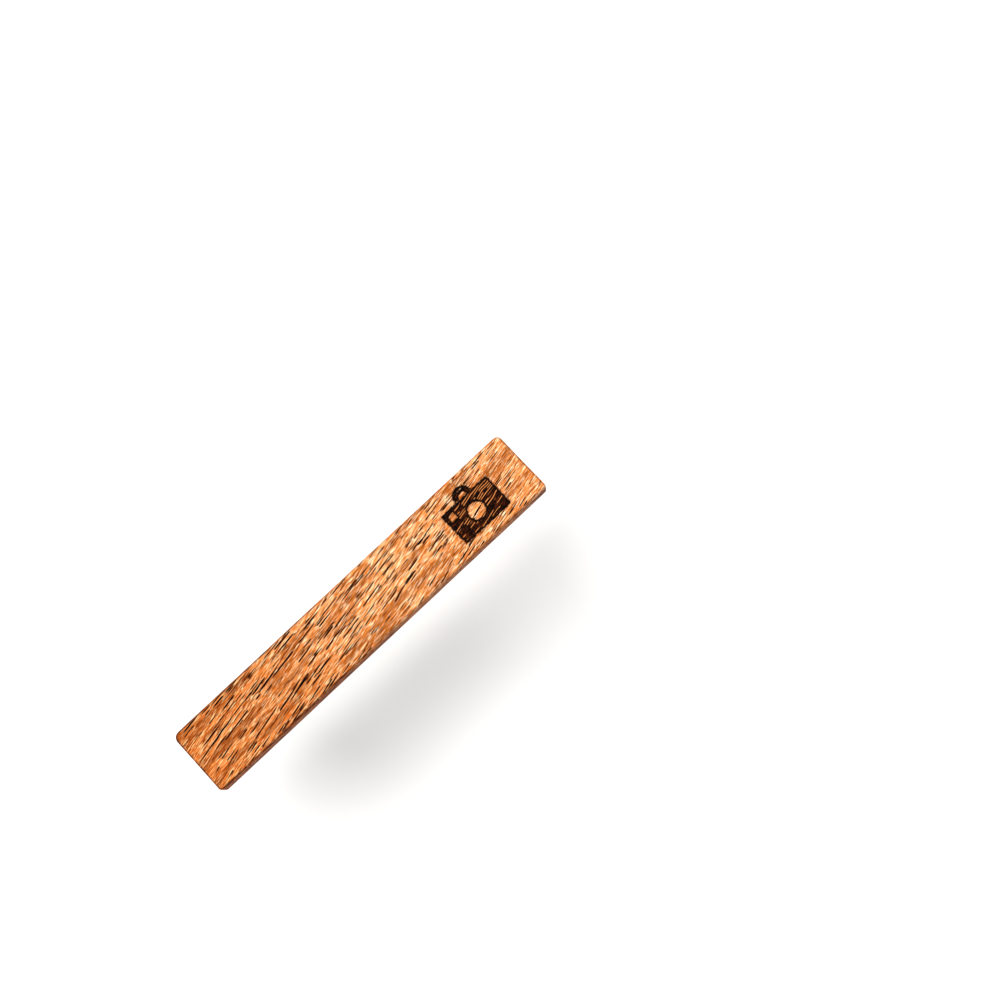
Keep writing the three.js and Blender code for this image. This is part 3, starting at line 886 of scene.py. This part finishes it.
def make_stampings():
    strip = nickel_material("strip_nickel", (214, 210, 202))
    bracket = nickel_material("bracket_nickel", (210, 206, 198), brush_turn=90, wear_shift=5)
    lever = nickel_material("lever_nickel", (216, 212, 204), wear_shift=11)
    rivet = nickel_material("rivet_nickel", (206, 200, 190), brush_turn=90, wear_shift=17)
    make_stamping("mounting_bar", "back_strip", "front", strip, 0.05)
    make_stamping("hinge_bracket", "bracket", "front", bracket, 0.05)
    make_stamping("clip_lever", "jaw_lever", "lever", lever, 0.045)
    make_stamping("hinge_pin", "rivet", "front", rivet, 0.03)


make_stampings()

# ---------------------------------------------------------------- glue

GLUE_CORNER = 1.6
GLUE_LAP = 0.12  # how far the squeezed-out glue laps down the strip's edge
CORNER_STEPS = 10
OUTLINE_STEP = 0.6


def rounded_outline(half_x, half_y, corner):
    """A rounded rectangle about the origin as a closed loop of points, anticlockwise."""
    turns = []
    for quarter, (sx, sy) in enumerate(((1, -1), (1, 1), (-1, 1), (-1, -1))):
        middle = np.array([sx * (half_x - corner), sy * (half_y - corner)])
        for i in range(CORNER_STEPS + 1):
            angle = math.pi / 2 * (quarter - 1 + i / CORNER_STEPS)
            turns.append(middle + corner * np.array([math.cos(angle), math.sin(angle)]))
    turns = np.array(turns)
    points = []
    for a, b in zip(turns, np.roll(turns, -1, 0)):
        pieces = max(1, int(np.linalg.norm(b - a) / OUTLINE_STEP))
        points += [a + (b - a) * k / pieces for k in range(pieces)]
    return np.array(points)


def at_height(outline, height):
    return np.column_stack([outline, fill(height, len(outline))])


def glue_rings():
    """Loops of points from the film's top, out over the squeezed-out edge, to the film's bottom."""
    low, high = STRIP_HIGH[2], OAK_LOW[2]
    outline = rounded_outline(STRIP_HIGH[0], STRIP_HIGH[1], GLUE_CORNER)
    out = outline / np.linalg.norm(outline, axis=1)[:, None]
    along = 0.21 * np.arange(len(outline))
    squeeze = 0.02 + 0.42 * smoothstep(0.35, 0.8, edge_noise(along, 11, 4))
    levels = (
        (high, squeeze + 0.05),
        ((low + high) / 2, squeeze),
        (low, squeeze * 0.75),
        (low - GLUE_LAP, squeeze * 0.15 + 0.012),
    )
    edge = [at_height(outline + out * grow[:, None], height) for height, grow in levels]
    return [at_height(outline * 0.97, high), *edge, at_height(outline * 0.97, low - 0.002)]


def glue_material():
    resin = Nodes("glue")
    haze = resin.noise((0.9, 0.9, 0.9), detail=3, roughness=0.6, shift=21)
    return resin.set(
        Base_Color=resin.mix(resin.step(haze, 0.3, 0.7), srgb(226, 208, 160), srgb(196, 170, 118)),
        Roughness=resin.step(haze, 0.3, 0.7, 0.12, 0.3),
        Transmission_Weight=0.35,
        IOR=1.5,
    )


def make_glue():
    """The film between oak and strip, squeezed out unevenly past the strip's edges."""
    rings = glue_rings()
    made = new_object("glue_squeeze_out", np.concatenate(rings), ring_faces(len(rings), len(rings[0])))
    shade_smooth(made, 60)
    made.data.materials.append(glue_material())
    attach(made, "front")
    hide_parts("glue_film")


make_glue()

# ---------------------------------------------------------------- solder

SOLDER_STEPS, SOLDER_AROUND = 60, 8
SOLDER_INSET = 0.15  # from each end of the bracket
SOLDER_THIN, SOLDER_EXTRA = 0.15, 0.07


def solder_material():
    solder = Nodes("solder")
    lumps = solder.noise((1.6, 1.6, 1.6), detail=3, roughness=0.6, shift=31)
    return solder.set(
        Base_Color=solder.mix(lumps, srgb(186, 184, 178), srgb(142, 138, 130)),
        Metallic=1.0,
        Roughness=solder.step(lumps, 0.3, 0.7, 0.25, 0.5),
        Normal=solder.bump(lumps, 0.03, 0.6),
    )


def bead_points(side):
    """Rings along one bead, which lies flat against the strip and thins out at its ends."""
    start, end = BRACKET_LOW[0] + SOLDER_INSET, BRACKET_HIGH[0] - SOLDER_INSET
    middle_y, middle_z = BRACKET_HIGH[1] - 0.2, STRIP_LOW[2] - 0.02
    points = []
    for i in range(SOLDER_STEPS + 1):
        share = i / SOLDER_STEPS
        x = start + (end - start) * share
        swell = math.sin(math.pi * max(0.02, share)) ** 0.3
        uneven = float(edge_noise(x * 1.4, side * 5 + 9, 2))
        size = (SOLDER_THIN + SOLDER_EXTRA * uneven) * swell
        for k in range(SOLDER_AROUND):
            angle = 2 * math.pi * k / SOLDER_AROUND
            y = middle_y + size * 1.5 * math.cos(angle)
            z = min(STRIP_LOW[2] + 0.01, middle_z + size * math.sin(angle))
            points.append((x, side * y, z))
    return points


def make_solder():
    """A bead of solder along both folds of the bracket, where it meets the strip."""
    material = solder_material()
    for side, name in ((-1, "solder_near"), (1, "solder_far")):
        faces = ring_faces(SOLDER_STEPS + 1, SOLDER_AROUND)
        if side < 0:
            faces = [face[::-1] for face in faces]
        made = new_object(name, bead_points(side), faces)
        shade_smooth(made)
        made.data.materials.append(material)
        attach(made, "front")


make_solder()

# ---------------------------------------------------------------- torsion spring

WIRE = 0.2  # radius
WIRE_AROUND = 14
WIRE_CAP = ((-0.5, 0.2), (-0.325, 0.7), (-0.125, 0.95))  # place beyond the end and size, in radii
COIL = 1.1  # radius
COIL_TURNS = 4
COIL_HALF = 1.1  # half its length along the pin
LOW_LEG = (-19.6, SPRING_LOW[2] + WIRE)  # x and z where the leg on the lever's tab ends
HIGH_LEG = (-19.0, STRIP_LOW[2] - WIRE - 0.03)  # and where the leg on the strip ends


def spring_line():
    """The middle line of the wire: one leg on the lever's tab, the coil, one leg on the strip."""
    low_leg, high_leg = np.array(LOW_LEG), np.array(HIGH_LEG)
    pin = np.array([PIN_X, PIN_Z])

    def touch(leg, side):
        dx, dz = leg - pin
        return math.atan2(dz, dx) + side * math.acos(COIL / math.hypot(dx, dz))

    start = touch(low_leg, 1)
    end = touch(high_leg, -1) + COIL_TURNS * 2 * math.pi
    turns = np.linspace(0, 1, COIL_TURNS * 40)
    angle = start + (end - start) * turns
    coil = np.column_stack([
        pin[0] + COIL * np.cos(angle),
        -COIL_HALF + 2 * COIL_HALF * turns,
        pin[1] + COIL * np.sin(angle),
    ])
    leg_steps = np.linspace(0, 1, 24, endpoint=False)[:, None]
    low_end = np.array([low_leg[0], -COIL_HALF, low_leg[1]])
    high_end = np.array([high_leg[0], COIL_HALF, high_leg[1]])
    first = low_end + (coil[0] - low_end) * leg_steps
    last = high_end + (coil[-1] - high_end) * leg_steps
    return np.concatenate([first, coil, last[::-1]])


def wire_tube(line):
    """Points and faces of a round wire with rounded ends along a line of points."""
    tangent = np.gradient(line, axis=0)
    tangent /= np.linalg.norm(tangent, axis=1)[:, None]
    side = np.cross(tangent, (0.0, 1.0, 0.0))
    side /= np.linalg.norm(side, axis=1)[:, None]
    lift = np.cross(tangent, side)

    beyond, size = np.array(WIRE_CAP).T
    inner = len(line) - 2
    at = [0] * len(WIRE_CAP) + list(range(1, inner + 1)) + [-1] * len(WIRE_CAP)
    beyond = np.concatenate([beyond, np.zeros(inner), -beyond[::-1]])[:, None]
    size = np.concatenate([size, np.ones(inner), size[::-1]])[:, None, None]
    centre = line[at] + tangent[at] * WIRE * beyond
    angle = np.linspace(0, 2 * math.pi, WIRE_AROUND, endpoint=False)[:, None]
    circle = np.cos(angle) * side[at][:, None] + np.sin(angle) * lift[at][:, None]
    points = centre[:, None] + WIRE * size * circle
    return points.reshape(-1, 3), ring_faces(len(at), WIRE_AROUND)


def spring_material():
    wire = Nodes("spring_steel")
    drawn = wire.noise((9, 9, 9), detail=3, roughness=0.6, shift=41)
    patch = wire.noise((1.2, 1.2, 1.2), detail=3, shift=42)
    return wire.set(
        Base_Color=wire.mix(wire.step(patch, 0.35, 0.7), srgb(176, 176, 178), srgb(128, 124, 120)),
        Metallic=1.0,
        Roughness=wire.step(drawn, 0.3, 0.7, 0.2, 0.38),
        Normal=wire.bump(drawn, 0.006, 0.5),
    )


def make_spring():
    made = new_object("spring_wire", *wire_tube(spring_line()))
    shade_smooth(made, 50)
    made.data.materials.append(spring_material())
    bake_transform(made)
    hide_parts("torsion_spring")


make_spring()

# ---------------------------------------------------------------- floor, light and camera

FLOOR_HALF = 3000
PAPER_SHADED, PAPER_PALE = (0.86, 0.855, 0.845, 1), (0.9, 0.895, 0.885, 1)
WORLD_COLOUR = (0.95, 0.97, 1.0, 1)
WORLD_LIGHT, WORLD_SEEN = 0.4, 1.05  # the surround's strength as a light, and as it is seen
CAMERA_PLACE = (7.56, -38.24, 226.68)
CAMERA_RIGHT = (0.7286, -0.6820, -0.0632)
CAMERA_UP = (0.6814, 0.7124, 0.1678)


def floor_height():
    """Just under the lowest place that the jaw swings to when it is wide open."""
    low, high = box_in_mm("clip_lever")
    opening = math.radians(HINGE["range_deg"][1])
    along, down = high[0] - PIN_X, PIN_Z - low[2]
    return PIN_Z - along * math.sin(opening) - down * math.cos(opening)


def make_floor():
    height = floor_height()
    corners = ((-1, -1), (1, -1), (1, 1), (-1, 1))
    points = [(x * FLOOR_HALF, y * FLOOR_HALF, height) for x, y in corners]
    floor = new_object("floor", points, [(0, 1, 2, 3)])
    paper = Nodes("floor_paper")
    tone = paper.noise((0.02, 0.02, 0.02), detail=2, shift=51)
    paper.set(Base_Color=paper.mix(tone, PAPER_SHADED, PAPER_PALE), Roughness=0.85)
    floor.data.materials.append(paper.material)


def new_light(name, kind, energy, colour, direction):
    data = bpy.data.lights.new(name, kind)
    data.energy = energy
    data.color = colour
    light = bpy.data.objects.new(name, data)
    light.rotation_euler = Vector(direction).to_track_quat("-Z", "Y").to_euler()
    bpy.context.scene.collection.objects.link(light)
    return light


def make_soft_box(name, place_mm, size_mm, watts, colour):
    """A square soft box that faces the middle of the clip."""
    place = Vector(place_mm)
    light = new_light(name, "AREA", watts, colour, Vector((0, 0, OAK_HIGH[2])) - place)
    light.location = place * MM
    light.data.shape = "SQUARE"
    light.data.size = size_mm * MM


def make_lights():
    """A broad key light from far off, which lights the floor evenly, and two soft boxes."""
    key = new_light("key", "SUN", 3.2, (1.0, 0.985, 0.96), (80, -220, -380))
    key.data.angle = math.radians(50)
    make_soft_box("fill", (-320, -260, 260), 260, 0.5, (0.96, 0.98, 1.0))
    make_soft_box("back", (340, 60, 240), 220, 0.4, (1.0, 1.0, 1.0))


def make_world():
    """A dim, even surround, which looks as white as the floor where it is seen directly."""
    world = bpy.data.worlds.new("studio")
    world.use_nodes = True
    tree = world.node_tree
    background = tree.nodes["Background"]
    background.inputs["Color"].default_value = WORLD_COLOUR
    path = tree.nodes.new("ShaderNodeLightPath")
    strength = tree.nodes.new("ShaderNodeMapRange")
    strength.inputs["To Min"].default_value = WORLD_LIGHT
    strength.inputs["To Max"].default_value = WORLD_SEEN
    tree.links.new(path.outputs["Is Camera Ray"], strength.inputs["Value"])
    tree.links.new(strength.outputs["Result"], background.inputs["Strength"])
    bpy.context.scene.world = world


def make_camera():
    """Above the face, leaning a little towards -Y and +X, with the bar's jaw end up and right."""
    right, up = Vector(CAMERA_RIGHT), Vector(CAMERA_UP)
    back = right.cross(up).normalized()
    up = back.cross(right).normalized()
    turn = Matrix((right.normalized(), up, back)).transposed()
    data = bpy.data.cameras.new("camera")
    data.sensor_width = 36
    data.lens = 61.28
    data.clip_start = 0.01
    data.clip_end = 20
    camera = bpy.data.objects.new("camera", data)
    camera.matrix_world = Matrix.Translation(Vector(CAMERA_PLACE) * MM) @ turn.to_4x4()
    bpy.context.scene.collection.objects.link(camera)
    bpy.context.scene.camera = camera


make_floor()
make_lights()
make_world()
make_camera()
bpy.context.scene.view_settings.view_transform = "Standard"
